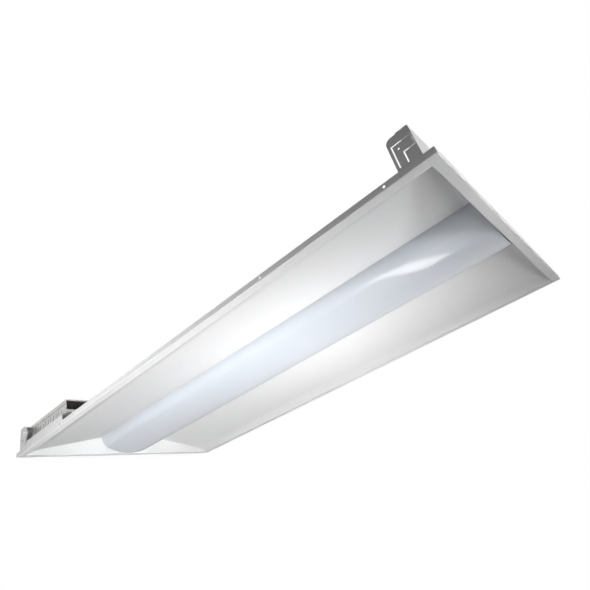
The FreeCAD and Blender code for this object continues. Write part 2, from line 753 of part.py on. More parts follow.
def row_connectors(name):
    """Wire connectors at the edges of the far boards."""
    inner = S.board_offset - S.board_width / 2
    outer = S.board_offset + S.board_width / 2
    xs = (LEAD_PLACE - S.link_length / 2, LEAD_PLACE + S.link_length / 2)
    zs = (BOARD_UNDER - S.link_height / 2, WEB_UNDER)
    return group(name, [
        box(name + "_supply", xs, (-outer, -(outer + S.link_depth)), zs),
        box(name + "_left", xs, (-inner, -(inner - S.link_depth)), zs),
        box(name + "_right", xs, (inner, inner - S.link_depth), zs)])


def row_jumper(name):
    """Two straight wires from the left row to the right row."""
    reach = S.board_offset - S.board_width / 2 - S.link_depth
    wires = []
    for number, shift in enumerate((-0.5, 0.5)):
        start = (LEAD_PLACE + shift * S.wire_spacing, -reach, WIRE_LEVEL)
        wires.append(prism(f"{name}_{number}", start, "+y", WIRE_SIDES, S.wire_radius, 2 * reach))
    return group(name, wires)


def rounded_route(route, radii):
    """Straight runs joined by tangent arcs, and the way the first run goes."""
    edges = []
    start = route[0]
    for i, radius in radii.items():
        centre, first, last = fold_at(*route[i - 1:i + 2], float(radius))
        middle = centre + (route[i] - centre).normalize() * float(radius)
        edges.append(Part.LineSegment(start, first).toShape())
        edges.append(Part.Arc(first, middle, last).toShape())
        start = last
    edges.append(Part.LineSegment(start, route[-1]).toShape())
    return Part.Wire(edges), route[1] - route[0]


def many_sided(centre, way, radius):
    """A closed outline with equal sides round a centre, square to the way."""
    circle = Part.Circle(centre, way, radius)
    corners = [circle.value(2 * math.pi * i / WIRE_SIDES) for i in range(WIRE_SIDES)]
    return Part.makePolygon(corners + corners[:1])


def lead_wire(name, number):
    """One lead from the driver through the tray's inner wall, up and in to the board."""
    x = LEAD_PLACE + (number - 0.5) * S.wire_spacing
    level = FLOOR_TOP + S.terminal_wire
    board_edge = S.board_offset + S.board_width / 2 + S.link_depth
    corners = [
        (driver_middle()[1] + S.terminal_width / 2, level),
        (-(THROAT + S.hem_width + S.lead_run), level),
        (-(THROAT + S.hem_width + S.lead_clear), WIRE_LEVEL),
        (-board_edge, WIRE_LEVEL),
    ]
    route = [FreeCAD.Vector(float(x), float(y), float(z)) for y, z in corners]
    path, start_way = rounded_route(route, {1: S.lead_bend, 2: S.lead_bend})
    section = many_sided(route[0], start_way, float(S.wire_radius))
    wire = doc.addObject("Part::Feature", name)
    wire.Shape = path.makePipeShell([section], True, False)
    wire.Placement = FreeCAD.Placement()
    return wire


def lead_grommet(name):
    """A soft block in the spine's notch with a hole for each lead."""
    shoulder = THROAT + S.hem_width - S.spine_foot - S.spine_lean
    half = S.grommet_length / 2 - S.seam_gap
    block = box(name + "_block", (LEAD_PLACE - half, LEAD_PLACE + half),
                (-(shoulder + S.grommet_depth), -(shoulder - S.sheet / 2)),
                (HEM_HEIGHT, WEB_UNDER))
    holes = []
    for number, shift in enumerate((-0.5, 0.5)):
        start = (LEAD_PLACE + shift * S.wire_spacing, -(shoulder + 2 * S.grommet_depth),
                 WIRE_LEVEL)
        holes.append(prism(f"{name}_hole{number}", start, "+y", WIRE_SIDES,
                           S.wire_radius + S.screw_gap, 3 * S.grommet_depth))
    return cut(name, block, holes)


def spine_screws(name):
    """Screws through the spine's feet into the hems."""
    screws = []
    for number, (x, y) in enumerate(spine_screw_places()):
        screws.append(screw(f"{name}_{number}", (x, y, HEM_HEIGHT + S.sheet), "+z",
                            2 * S.sheet))
    return group(name, screws)


def end_screws(name):
    """Screws through the end plates' top flanges into the spine."""
    screws = []
    for number, (x, y) in enumerate(end_screw_places()):
        screws.append(screw(f"{name}_{number}", (x, y, S.top_height), "+z",
                            2 * S.sheet + S.seam_gap))
    return group(name, screws)


def lid_screw_places():
    """One in the middle of each long side of the lid."""
    height = S.top_height - S.lid_skirt + S.lid_screw_rise
    return [((TRAY_NEAR + TRAY_FAR) / 2, side, height) for side in ("-y", "+y")]


def driver_tray(name):
    """A folded tray with vents in its outer wall and a low near end."""
    outer = -TRAY_EDGE
    inner = -TRAY_SEAT
    block = box(name + "_block", (TRAY_FAR, TRAY_NEAR), (outer, inner),
                (S.tray_floor, TRAY_TOP))
    hollow = box(name + "_hollow", (TRAY_FAR + S.sheet, TRAY_NEAR - S.sheet),
                 (outer + S.sheet, inner - S.sheet), (FLOOR_TOP, S.top_height))
    mouth = box(name + "_mouth", (TRAY_NEAR - 2 * S.sheet, TRAY_NEAR + S.sheet),
                (outer + S.sheet, inner - S.sheet), (S.tray_lip, S.top_height))
    tools = [hollow, mouth]
    middle = (TRAY_NEAR + TRAY_FAR) / 2
    for number in range(VENTS):
        x = middle + (number - (VENTS - 1) / 2) * S.vent_pitch
        tools.append(vent(f"{name}_vent{number}", x, outer))
    for number, (x, way, z) in enumerate(lid_screw_places()):
        y = outer if way == "-y" else inner
        tools.append(box(f"{name}_notch{number}", (x - SCREW_HOLE, x + SCREW_HOLE),
                         (y - 2 * S.sheet, y + 2 * S.sheet),
                         (z - SCREW_HOLE, S.top_height)))
    level = FLOOR_TOP + S.terminal_wire
    tools.append(box(name + "_exit", (LEAD_PLACE - S.wire_spacing, LEAD_PLACE + S.wire_spacing),
                     (inner - 2 * S.sheet, inner + S.sheet),
                     (level - S.lead_exit / 2, level + S.lead_exit / 2)))
    x, y, z = bushing_place()
    tools.append(rod(name + "_entry", (x - S.sheet, y, z), "+x",
                     S.bushing_sleeve + S.screw_gap, 3 * S.sheet))
    for number, (x, y) in enumerate(driver_screw_places() + tray_screw_places()
                                    + [ground_screw_place()]):
        tools.append(screw_hole(f"{name}_floor{number}", (x, y, S.tray_floor), "+z", 1))
    return cut(name, block, tools)


def vent(name, x, outer):
    """An upright slot through the tray's outer wall, under the lid's skirt."""
    half = S.vent_width / 2
    middle = (S.tray_floor + S.top_height - S.lid_skirt) / 2
    return box(name, (x - half, x + half), (outer - S.sheet, outer + 2 * S.sheet),
               (middle - S.vent_length / 2, middle + S.vent_length / 2))


def driver_lid(name):
    """A cover that drops over the tray, with long skirts and short ends."""
    gap = S.lid_gap + S.sheet
    xs = (TRAY_FAR - gap, TRAY_NEAR + gap)
    ys = (-(TRAY_EDGE + gap), -(TRAY_SEAT - gap))
    low = S.top_height - S.lid_skirt
    block = box(name + "_block", xs, ys, (low, S.top_height))
    hollow = box(name + "_hollow", (xs[0] + S.sheet, xs[1] - S.sheet),
                 (ys[0] + S.sheet, ys[1] - S.sheet), (low - S.sheet, S.top_height - S.sheet))
    mouths = [box(f"{name}_mouth{number}", (x - 2 * S.sheet, x + 2 * S.sheet),
                  (ys[0] + S.sheet, ys[1] - S.sheet), (low - S.sheet, S.top_height - S.lid_end))
              for number, x in enumerate(xs)]
    supply = rod(name + "_supply", (TRAY_FAR + S.supply_end_inset, S.supply_inset - TRAY_EDGE,
                 S.top_height - 2 * S.sheet), "+z", S.supply_radius, 3 * S.sheet)
    tools = [hollow, supply] + mouths
    for number, (x, way, z) in enumerate(lid_screw_places()):
        y = ys[0] if way == "-y" else ys[1] - S.sheet
        tools.append(screw_hole(f"{name}_hole{number}", (x, y, z), "+y", 1))
    return cut(name, block, tools)


def lid_screws(name):
    """Screws in the lid's skirts, which lift out of the tray's open notches with it."""
    gap = S.lid_gap + S.sheet
    screws = []
    for number, (x, way, z) in enumerate(lid_screw_places()):
        y = -(TRAY_EDGE + gap) if way == "-y" else -(TRAY_SEAT - gap)
        screws.append(screw(f"{name}_{number}", (x, y, z), way, 2 * S.sheet + S.lid_gap))
    return group(name, screws)


def driver_middle():
    """Centre of the driver case over the tray."""
    y = -(TRAY_EDGE - S.driver_inset - S.driver_width / 2)
    return DRIVER_NEAR - S.driver_length / 2, y


def driver_screw_places():
    """Through the ears on the case's long sides."""
    x, y = driver_middle()
    reach = (S.driver_width + S.driver_ear) / 2
    return [(x, y - reach), (x, y + reach)]


def driver_case(name):
    """A potted metal case with rounded upright edges and two mounting ears."""
    x, y = driver_middle()
    body, pad = padded(name + "_body", "XY_Plane",
                       rectangle(S.driver_length / 2, S.driver_width / 2), S.driver_height)
    place(body, (x, y, FLOOR_TOP))
    doc.recompute()
    upright = [f"Edge{i + 1}" for i, edge in enumerate(pad.Shape.Edges)
               if abs(edge.tangentAt(edge.FirstParameter).z) > 0.9]
    rounding = body.newObject("PartDesign::Fillet", name + "_corners")
    rounding.Base = (pad, upright)
    rounding.setExpression("Radius", text(S.driver_corner))
    half = S.driver_ear_width / 2
    reach = S.driver_width / 2 + S.driver_ear
    ears = box(name + "_ears", (x - half, x + half), (y - reach, y + reach),
               (FLOOR_TOP, FLOOR_TOP + S.driver_ear_thickness))
    tools = [screw_hole(f"{name}_hole{number}", (ear_x, ear_y, FLOOR_TOP), "+z",
                        S.driver_ear_thickness / S.sheet)
             for number, (ear_x, ear_y) in enumerate(driver_screw_places())]
    return cut(name, join(name + "_eared", [body, ears]), tools)


def driver_screws(name):
    """Screws through the case's ears."""
    level = FLOOR_TOP + S.driver_ear_thickness
    screws = []
    for number, (x, y) in enumerate(driver_screw_places()):
        screws.append(screw(f"{name}_{number}", (x, y, level), "+z",
                            S.driver_ear_thickness + S.sheet))
    return group(name, screws)


def terminals(name, end):
    """A terminal block against one end of the driver case."""
    x, y = driver_middle()
    face = x + end * S.driver_length / 2
    half = S.terminal_width / 2
    return box(name, (face, face + end * S.terminal_length), (y - half, y + half),
               (FLOOR_TOP, FLOOR_TOP + S.terminal_height))


def supply_connector(name):
    """A plug-in connector for the supply, beside the far end of the driver."""
    far = DRIVER_FAR - S.terminal_length
    low = -(TRAY_EDGE - S.connector_inset)
    return box(name, (far, far + S.connector_length), (low, low + S.connector_width),
               (FLOOR_TOP, FLOOR_TOP + S.connector_height))


def supply_leads(name):
    """Three short wires from the connector to the driver's input terminals."""
    far = DRIVER_FAR - S.terminal_length
    start = -(TRAY_EDGE - S.connector_inset) + S.connector_width
    stop = driver_middle()[1] - S.terminal_width / 2
    wires = []
    for number in range(3):
        x = far + S.terminal_length / 2 + (number - 1) * S.supply_wire_pitch
        wires.append(prism(f"{name}_{number}", (x, start, FLOOR_TOP + S.supply_wire_height),
                           "+y", WIRE_SIDES, S.wire_radius, stop - start))
    return group(name, wires)


def bushing_place():
    """In the tray's far wall, midway up it."""
    return TRAY_FAR, S.bushing_inset - TRAY_EDGE, (FLOOR_TOP + TRAY_TOP) / 2


def supply_bushing(name):
    """A flanged sleeve in the tray's far wall, which saves the cable from the edge."""
    profile = [
        (S.bushing_bore, -3 * S.sheet), (S.bushing_sleeve, -3 * S.sheet),
        (S.bushing_sleeve, 0 * S.sheet), (S.bushing_flange, 0 * S.sheet),
        (S.bushing_flange, S.bushing_length), (S.bushing_bore, S.bushing_length)]
    return turned(name, profile, bushing_place(), "-x")


def ground_screw_place():
    """In the tray's floor, by the near end."""
    return TRAY_NEAR - S.ground_inset, S.ground_offset - TRAY_EDGE


def ground_screw(name):
    """The earth screw in the tray's floor."""
    x, y = ground_screw_place()
    return screw(name, (x, y, FLOOR_TOP), "+z", S.sheet)


def bracket_reach():
    """Inner edge of the bracket's ledge, from the centre line."""
    return EDGE - S.bracket_slope - S.bracket_ledge


def tray_screw_places():
    """Through the tray's floor into the bracket's ledge."""
    y = -(bracket_reach() + S.bracket_ledge / 3)
    return [(BRACKET_NEAR - S.tray_screw_inset, y), (BRACKET_FAR + S.tray_screw_inset, y)]


def tray_bracket(name):
    """A white strip inside the left lip that rises to a ledge under the tray."""
    across = [
        (EDGE, S.sheet + S.seam_gap),
        (EDGE, S.bracket_leg),
        (EDGE - S.bracket_slope, S.tray_floor),
        (bracket_reach(), S.tray_floor),
    ]
    radii = {1: S.rise_fold_radius, 2: S.rise_fold_radius}
    line = fold_line(name + "_line", [(-y, z) for y, z in across], radii, ACROSS)
    strip = sheet_from(name + "_strip", line, S.sheet, (1, 0, 0),
                       BRACKET_NEAR - BRACKET_FAR)
    place(strip, ((BRACKET_NEAR + BRACKET_FAR) / 2, 0, 0))
    tools = []
    for number, x in enumerate(BRACKET_SCREWS):
        tools.append(screw_hole(f"{name}_side{number}", (x, -EDGE, S.bracket_screw_height),
                                "+y", 1))
    for number, (x, y) in enumerate(tray_screw_places()):
        tools.append(screw_hole(f"{name}_ledge{number}", (x, y, S.tray_floor - S.sheet), "+z", 1))
    return cut(name, strip, tools)


def bracket_screws(name):
    """Flush screws through the left lip into the tray bracket."""
    screws = []
    for number, x in enumerate(BRACKET_SCREWS):
        start = (x, -HALF_WIDTH, S.bracket_screw_height)
        head = rod(f"{name}_head{number}", start, "+y", S.screw_head, S.sheet)
        shank = prism(f"{name}_shank{number}", start, "+y", SCREW_SIDES, S.screw_shank,
                      HALF_WIDTH - EDGE + S.sheet + S.screw_point)
        screws.append(join(f"{name}_{number}", [head, shank]))
    return group(name, screws)


def tray_screws(name):
    """Screws through the tray's floor into the bracket's ledge."""
    screws = []
    for number, (x, y) in enumerate(tray_screw_places()):
        screws.append(screw(f"{name}_{number}", (x, y, FLOOR_TOP), "+z", 2 * S.sheet))
    return group(name, screws)


def add(name, maker, *details):
    """Make one sub-part under its own name and keep it."""
    parts[name] = maker(name, *details)
    parts[name].Label = name


def make_parts():
    """Every sub-part of the light."""
    lip_screw_holes = [(x, S.bracket_screw_height, S.screw_head + S.screw_gap)
                       for x in BRACKET_SCREWS]
    add("reflector_left", reflector, LEFT, lip_screw_holes)
    add("reflector_right", reflector, RIGHT, [])
    for end, end_name in ((NEAR, "near"), (FAR, "far")):
        add(f"end_plate_{end_name}", end_plate, end)
        for side, side_name in ((LEFT, "left"), (RIGHT, "right")):
            add(f"grid_clip_{end_name}_{side_name}", grid_clip, end, side)
            add(f"led_board_{end_name}_{side_name}", led_board, end, side)
    for side, side_name in ((LEFT, "left"), (RIGHT, "right")):
        add(f"led_chips_{side_name}", led_chips, side)
    add("output_terminals", terminals, NEAR)
    add("input_terminals", terminals, FAR)
    add("led_lead_positive", lead_wire, 0)
    add("led_lead_negative", lead_wire, 1)
    for maker in (housing_spine, lens, board_screws, board_links, row_connectors, row_jumper,
                  lead_grommet, spine_screws, end_screws, driver_tray, driver_lid, lid_screws,
                  driver_case, driver_screws, supply_connector, supply_leads, supply_bushing,
                  ground_screw, tray_bracket, bracket_screws, tray_screws):
        add(maker.__name__, maker)


def check_parts():
    """Stop before anything is written if an object or a shape has failed."""
    for item in doc.Objects:
        if any(state in ("Invalid", "Error") for state in item.State):
            raise RuntimeError(f"{item.Name} is {item.State}")
    for name, part in parts.items():
        if part.Shape.isNull() or not part.Shape.isValid():
            raise RuntimeError(f"{name} has no valid shape")


def write_parts():
    """One file for each sub-part."""
    os.makedirs("parts", exist_ok=True)
    for name, part in parts.items():
        part.Shape.exportStep(f"parts/{name}.step")
        print(f"{name}: {len(part.Shape.Solids)} solids, {part.Shape.Volume / 1000:.1f} cm3")


make_parts()
doc.recompute()
check_parts()
write_parts()
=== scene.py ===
# %% [markdown]
# # A recessed troffer light
# The light is folded from white enamelled sheet and lies in a ceiling grid with its open
# side down. Two sloping reflectors lead to a frosted trough lens in the middle, end plates
# close the ends, and a small galvanised tray on top holds the driver.
#
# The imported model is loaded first. Its pieces keep their places, and this lesson gives
# them their finishes, redraws the smallest fittings more finely, and sets up a studio.

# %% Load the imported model
import json
import math
import bpy
import numpy as np
from mathutils import Matrix, Vector

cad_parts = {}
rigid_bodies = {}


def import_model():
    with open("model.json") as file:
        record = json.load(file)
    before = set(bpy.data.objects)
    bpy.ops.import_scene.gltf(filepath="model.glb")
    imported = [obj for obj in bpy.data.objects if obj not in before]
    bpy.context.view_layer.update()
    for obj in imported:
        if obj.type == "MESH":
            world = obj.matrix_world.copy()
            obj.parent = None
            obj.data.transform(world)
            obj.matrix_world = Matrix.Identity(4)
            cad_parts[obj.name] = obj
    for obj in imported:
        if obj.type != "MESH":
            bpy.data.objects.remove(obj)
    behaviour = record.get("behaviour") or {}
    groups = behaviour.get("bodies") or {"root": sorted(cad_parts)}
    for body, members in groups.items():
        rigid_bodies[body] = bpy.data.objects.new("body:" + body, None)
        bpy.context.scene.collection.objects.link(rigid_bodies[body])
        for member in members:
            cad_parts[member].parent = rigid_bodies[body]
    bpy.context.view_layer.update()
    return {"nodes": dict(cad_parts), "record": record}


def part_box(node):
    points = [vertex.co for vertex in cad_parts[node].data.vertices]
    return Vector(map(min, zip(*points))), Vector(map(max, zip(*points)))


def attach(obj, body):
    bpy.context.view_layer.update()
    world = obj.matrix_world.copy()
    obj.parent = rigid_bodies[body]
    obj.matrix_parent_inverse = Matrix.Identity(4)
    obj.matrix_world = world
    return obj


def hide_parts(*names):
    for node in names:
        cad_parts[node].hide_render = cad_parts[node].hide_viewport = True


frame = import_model()
nodes = frame["nodes"]

# %% [markdown]
# ## Writing a finish as sums
# A finish is a small graph of shader nodes. Placing them by hand hides what they work
# out, so one class wraps a socket and lets it be added and multiplied like a number. The
# reflected forms let the plain number come first, as in 1 - mask.

# %% Sockets that can be added and multiplied


class Value:
    """A socket of a graph. Each operator adds the Math node that does the sum."""

    def __init__(self, graph, socket):
        self.graph = graph
        self.socket = socket

    def math(self, operation, *numbers):
        return self.graph.node("ShaderNodeMath", {"operation": operation}, numbers)

    def __add__(self, other):
        return self.math("ADD", self, other)

    def __rsub__(self, other):
        return self.math("SUBTRACT", other, self)

    def __mul__(self, other):
        return self.math("MULTIPLY", self, other)

    def at_least(self, other):
        return self.math("MAXIMUM", self, other)

    def clamped(self):
        return self.math("MINIMUM", self.at_least(0), 1)

    __radd__ = __add__
    __rmul__ = __mul__


print("sums: add, take from, multiply, at least and clamped")

# %% [markdown]
# ## One method for every node
# Every node comes from one method, which takes its type, its settings and what goes into
# its sockets: numbers, colours or the values of other nodes. A finish adds short names
# for the patterns that it is mixed from. The world is a graph too, and needs none.

# %% Graphs and finishes


class Graph:
    """A node graph whose nodes all come from one method."""

    def __init__(self, tree):
        self.tree = tree

    def node(self, kind, settings, inputs, output=0):
        """Make a node, set it up, fill or link its sockets and return one output."""
        made = self.tree.nodes.new(kind)
        for name, value in settings.items():
            setattr(made, name, value)
        pairs = inputs.items() if isinstance(inputs, dict) else enumerate(inputs)
        for key, value in pairs:
            self.feed(made.inputs[key], value)
        return Value(self, made.outputs[output])

    def feed(self, socket, value):
        """Link a value into a socket, or set the socket to a number or colour."""
        if isinstance(value, Value):
            self.tree.links.new(value.socket, socket)
        else:
            socket.default_value = value


class Finish(Graph):
    """A material with one Principled shader, made node by node."""

    def __init__(self, name, constants):
        self.material = bpy.data.materials.new(name)
        self.material.use_nodes = True
        super().__init__(self.material.node_tree)
        self.shader = self.tree.nodes["Principled BSDF"]
        for socket, value in constants.items():
            self.shader.inputs[socket].default_value = value

    def surface(self, **sockets):
        """Feed the shader's sockets by their names, with spaces written as underscores."""
        for name, value in sockets.items():
            self.feed(self.shader.inputs[name.replace("_", " ")], value)
        return self.material

    def place(self):
        """Object coordinates, in metres."""
        return self.node("ShaderNodeTexCoord", {}, {}, "Object")

    def noise(self, scale, detail=2.0):
        """Smooth noise with so many bumps to the metre, about 0 to 1."""
        return self.node("ShaderNodeTexNoise", {}, {
            "Vector": self.place(), "Scale": scale, "Detail": detail}, "Fac")

    def cells(self, scale):
        """One random number, 0 to 1, for every crystal, so many crystals to the metre."""
        spots = self.node("ShaderNodeTexVoronoi", {}, {
            "Vector": self.place(), "Scale": scale}, "Color")
        return self.node("ShaderNodeSeparateColor", {}, [spots], 0)

    def mix(self, factor, first, second):
        """One colour fading into another."""
        return self.node("ShaderNodeMix", {"data_type": "RGBA"},
                         {0: factor, 6: first, 7: second}, 2)

    def bump(self, height, depth):
        """Normals of a relief so many metres deep."""
        return self.node("ShaderNodeBump", {}, {"Distance": depth, "Height": height})


def colour(red, green, blue):
    """A colour as the shader's sockets take it."""
    return (red, green, blue, 1.0)


finishes = {}
parts = {part["node"]: part for part in frame["record"]["subparts"]}
print("finishes to make:", len({part["material_slot"] for part in parts.values()}))

# %% [markdown]
# ## White baked enamel
# The reflectors, the end plates and the bracket are powder coated. Up close such a coat
# has a faint orange peel and a satin gloss. The peel is a fine noise read as relief, and
# a broad noise lets the gloss and the tone drift a little from place to place.

# %% White enamel
PEEL_SCALE, PEEL_DEPTH = 700.0, 0.00004
DRIFT_SCALE = 5.0


def white_enamel(name):
    """Satin white: fine noise for the peel, broad noise for gloss and tone."""
    finish = Finish(name, {"Specular IOR Level": 0.5})
    peel = finish.noise(PEEL_SCALE, 1.0)
    drift = finish.noise(DRIFT_SCALE)
    tone = finish.mix(drift, colour(0.875, 0.875, 0.875), colour(0.905, 0.905, 0.905))
    return finish.surface(Base_Color=tone, Roughness=0.36 + drift * 0.08,
                          Normal=finish.bump(peel, PEEL_DEPTH))


finishes["white_enamel"] = white_enamel("white_enamel")
print("enamel made")

# %% [markdown]
# ## Galvanised steel
# Hot zinc freezes on the sheet in flat crystals, the spangle. Each crystal is one tone
# and one gloss, so a Voronoi pattern with a random number for every cell draws it, once
# broad and once small. A drawn-out noise adds the lines that the rolling mill leaves.

# %% Galvanised sheet
BROAD_CRYSTALS, SMALL_CRYSTALS = 95.0, 260.0
MILL_LINES, LINE_DEPTH = (10.0, 800.0, 800.0), 0.00002


def galvanised_steel(name):
    """Zinc: the tone is 0.5 of a broad cell's number, 0.2 of a small one's and 0.3 of lines.

    The gloss follows the same two cells, and the lines are also a shallow relief.
    """
    finish = Finish(name, {"Metallic": 0.8})
    broad = finish.cells(BROAD_CRYSTALS)
    small = finish.cells(SMALL_CRYSTALS)
    stretched = finish.node("ShaderNodeMapping", {}, {
        "Vector": finish.place(), "Scale": MILL_LINES})
    lines = finish.node("ShaderNodeTexNoise", {}, {
        "Vector": stretched, "Scale": 1.0, "Detail": 3.0}, "Fac")
    tone = (broad * 0.5 + small * 0.2 + lines * 0.3).clamped()
    shade = finish.mix(tone, colour(0.42, 0.42, 0.41), colour(0.72, 0.715, 0.69))
    return finish.surface(Base_Color=shade, Roughness=0.24 + broad * 0.16 + small * 0.06,
                          Normal=finish.bump(lines, LINE_DEPTH))


finishes["galvanised_steel"] = galvanised_steel("galvanised_steel")
print("galvanised sheet made")

# %% [markdown]
# ## Frosted acrylic
# The lens is pressed from milky acrylic. Light soaks in and spreads, so it reads as a
# cool white body under a clear, glossy skin. The body is the base colour with a little
# roughness, and the skin is the shader's coat, which keeps reflections of lamps crisp.

# %% Frosted lens
ACRYLIC_IOR = 1.49
WAVE_SCALE = 9.0
RIPPLE_SCALE, RIPPLE_DEPTH = 30.0, 0.00001


def frosted_acrylic(name):
    """Cool white body under a clear coat, with a very slow waviness from moulding."""
    finish = Finish(name, {"Coat Roughness": 0.025, "IOR": ACRYLIC_IOR,
                           "Coat IOR": ACRYLIC_IOR})
    wave = finish.noise(WAVE_SCALE, 1.0)
    milk = finish.mix(wave, colour(0.572, 0.610, 0.662), colour(0.597, 0.633, 0.68))
    return finish.surface(Base_Color=milk, Roughness=0.34 + wave * 0.05, Coat_Weight=0.6,
                          Normal=finish.bump(finish.noise(RIPPLE_SCALE, 0.0), RIPPLE_DEPTH))


finishes["frosted_acrylic"] = frosted_acrylic("frosted_acrylic")
print("lens made")

# %% [markdown]
# ## Light boards and chips
# A light board is a strip of glass fibre under white solder mask, and it takes the same
# recipe as a moulded face: two close tones mixed by a fine noise. A chip is a white cup
# filled with yellow phosphor. Its grains settle unevenly, so a still finer noise mixes
# its two yellows, under a clear coat.

# %% Boards and chips
SPECK_SCALE, SPECK_DEPTH = 400.0, 0.00002
PHOSPHOR_SCALE = 2500.0


def moulded(name, low, high, roughness):
    """A moulded or printed face: two close tones mixed by a fine noise."""
    finish = Finish(name, {})
    speck = finish.noise(SPECK_SCALE)
    return finish.surface(Base_Color=finish.mix(speck, colour(*low), colour(*high)),
                          Roughness=roughness + speck * 0.08,
                          Normal=finish.bump(speck, SPECK_DEPTH))


def light_chip(name):
    """Phosphor in a pale cup: the tone follows a fine noise of settled grains."""
    finish = Finish(name, {"Coat Roughness": 0.1})
    grain = finish.noise(PHOSPHOR_SCALE, 3.0)
    return finish.surface(
        Base_Color=finish.mix(grain, colour(0.90, 0.72, 0.16), colour(0.96, 0.84, 0.36)),
        Roughness=0.35 + grain * 0.1, Coat_Weight=0.5)


finishes["board_white"] = moulded("board_white", (0.80, 0.81, 0.80), (0.86, 0.86, 0.85), 0.40)
finishes["light_chip"] = light_chip("light_chip")
print("boards and chips made")

# %% [markdown]
# ## Small mouldings, leads and screws
# The rest of the light is small: nylon connectors, rubber, the grey bushing, coloured
# leads and plated screws. Each gets its own tones and gloss from one of two recipes, the
# one for mouldings and one for plated metal.

# %% Small finishes
CLOUD_SCALE, CLOUD_DEPTH = 350.0, 0.00001


def plated(name, low, high, roughness):
    """Plated or painted metal: two tones mixed by noise, the gloss by the same noise."""
    finish = Finish(name, {"Metallic": 0.9})
    cloud = finish.noise(CLOUD_SCALE, 3.0)
    return finish.surface(Base_Color=finish.mix(cloud, colour(*low), colour(*high)),
                          Roughness=roughness + cloud * 0.12,
                          Normal=finish.bump(cloud, CLOUD_DEPTH))


for slot, low, high, roughness in (
        ("connector_white", (0.80, 0.79, 0.75), (0.88, 0.87, 0.83), 0.32),
        ("lead_insulation_red", (0.52, 0.03, 0.03), (0.64, 0.05, 0.04), 0.42),
        ("lead_insulation_blue", (0.03, 0.08, 0.34), (0.05, 0.12, 0.44), 0.42),
        ("lead_insulation_black", (0.02, 0.02, 0.02), (0.04, 0.04, 0.04), 0.42),
        ("black_rubber", (0.02, 0.02, 0.02), (0.045, 0.045, 0.045), 0.62),
        ("driver_metal", (0.70, 0.70, 0.68), (0.78, 0.78, 0.76), 0.40),
        ("terminal_grey", (0.36, 0.37, 0.38), (0.44, 0.45, 0.46), 0.46),
        ("connector_orange", (0.78, 0.26, 0.05), (0.86, 0.33, 0.07), 0.34),
        ("bushing_grey", (0.30, 0.31, 0.33), (0.38, 0.39, 0.41), 0.48)):
    finishes[slot] = moulded(slot, low, high, roughness)
finishes["zinc_screw"] = plated("zinc_screw", (0.52, 0.52, 0.50), (0.72, 0.72, 0.69), 0.26)
finishes["ground_green"] = plated("ground_green", (0.04, 0.26, 0.09), (0.07, 0.36, 0.13), 0.34)
print("finishes:", len(finishes))

# %% [markdown]
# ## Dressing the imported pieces
# The record says which finish each piece takes, so the pieces are dressed from it in
# one loop, and nothing can be forgotten.

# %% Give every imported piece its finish
for node, part in parts.items():
    worn = nodes[node].data.materials
    worn.clear()
    worn.append(finishes[part["material_slot"]])
print("dressed:", len(parts))

# %% [markdown]
# ## Drawing with rings of points
# A screw or a lead is a grid of points: rings that follow each other along an axis or a
# path. numpy works out every point at once, and the faces between neighbouring rings
# follow the same pattern for each piece, so one function turns any grid into a skin.

# %% From rings of points to a closed skin
MILLIMETRE = 0.001
SHARP_EDGE = math.radians(35)


def ring_faces(rings, around, first):
    """Quads between neighbouring rings and one face over each end ring.

    Point p of ring r has the number first + r * around + p.
    """
    here = np.arange(around)
    after = (here + 1) % around
    low = first + np.arange(rings - 1)[:, None] * around
    quads = np.stack([low + here, low + after, low + around + after, low + around + here], -1)
    caps = [(first + here[::-1]).tolist(), (first + (rings - 1) * around + here).tolist()]
    return quads.reshape(-1, 4).tolist() + caps


def redraw(node, grids):
    """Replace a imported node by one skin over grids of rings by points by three."""
    faces = []
    first = 0
    for grid in grids:
        faces += ring_faces(grid.shape[0], grid.shape[1], first)
        first += grid.shape[0] * grid.shape[1]
    mesh = bpy.data.meshes.new(node + "_fine")
    mesh.from_pydata(np.concatenate([grid.reshape(-1, 3) for grid in grids]).tolist(), [], faces)
    mesh.shade_smooth()
    mesh.set_sharp_from_angle(angle=SHARP_EDGE)
    part = parts[node]
    mesh.materials.append(finishes[part["material_slot"]])
    piece = bpy.data.objects.new(node + "_fine", mesh)
    bpy.context.scene.collection.objects.link(piece)
    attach(piece, body_of(node))
    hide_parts(node)
    print(node, len(grids), "skins,", len(faces), "faces")


def body_of(node):
    """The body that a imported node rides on."""
    return nodes[node].parent.name.removeprefix("body:")


def solids_of(node, count):
    """Lowest and highest corner of each of a node's solids, which are all meshed alike."""
    points = np.empty(3 * len(nodes[node].data.vertices))
    nodes[node].data.vertices.foreach_get("co", points)
    points = points.reshape(count, -1, 3)
    return points.min(axis=1), points.max(axis=1)


print("an edge is sharp from", round(math.degrees(SHARP_EDGE)), "degrees")

# %% [markdown]
# ## The lens, drawn smoothly
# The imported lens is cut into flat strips, and a glossy skin shows every one of them. The
# same section is drawn here with many more points: a ledge, a wall, a tight arc, one
# broad arc underneath, and the same again. It is half a millimetre slimmer on each side,
# so that a dark seam shows beside the reflectors. The inner line is the outer one moved
# in by the thickness, and the closed section is stretched along the light.

# %% A smooth trough
LENS_HALF, LENS_LEDGE, LENS_WALL = 83.5, 88.0, 1.6
LENS_SPRING, LENS_TOP, LENS_BOTTOM = 45.0, 61.0, 1.0
SIDE_RADIUS = 30.0
TIGHT_STEPS, BROAD_STEPS = 48, 64
LENS_RINGS = 9


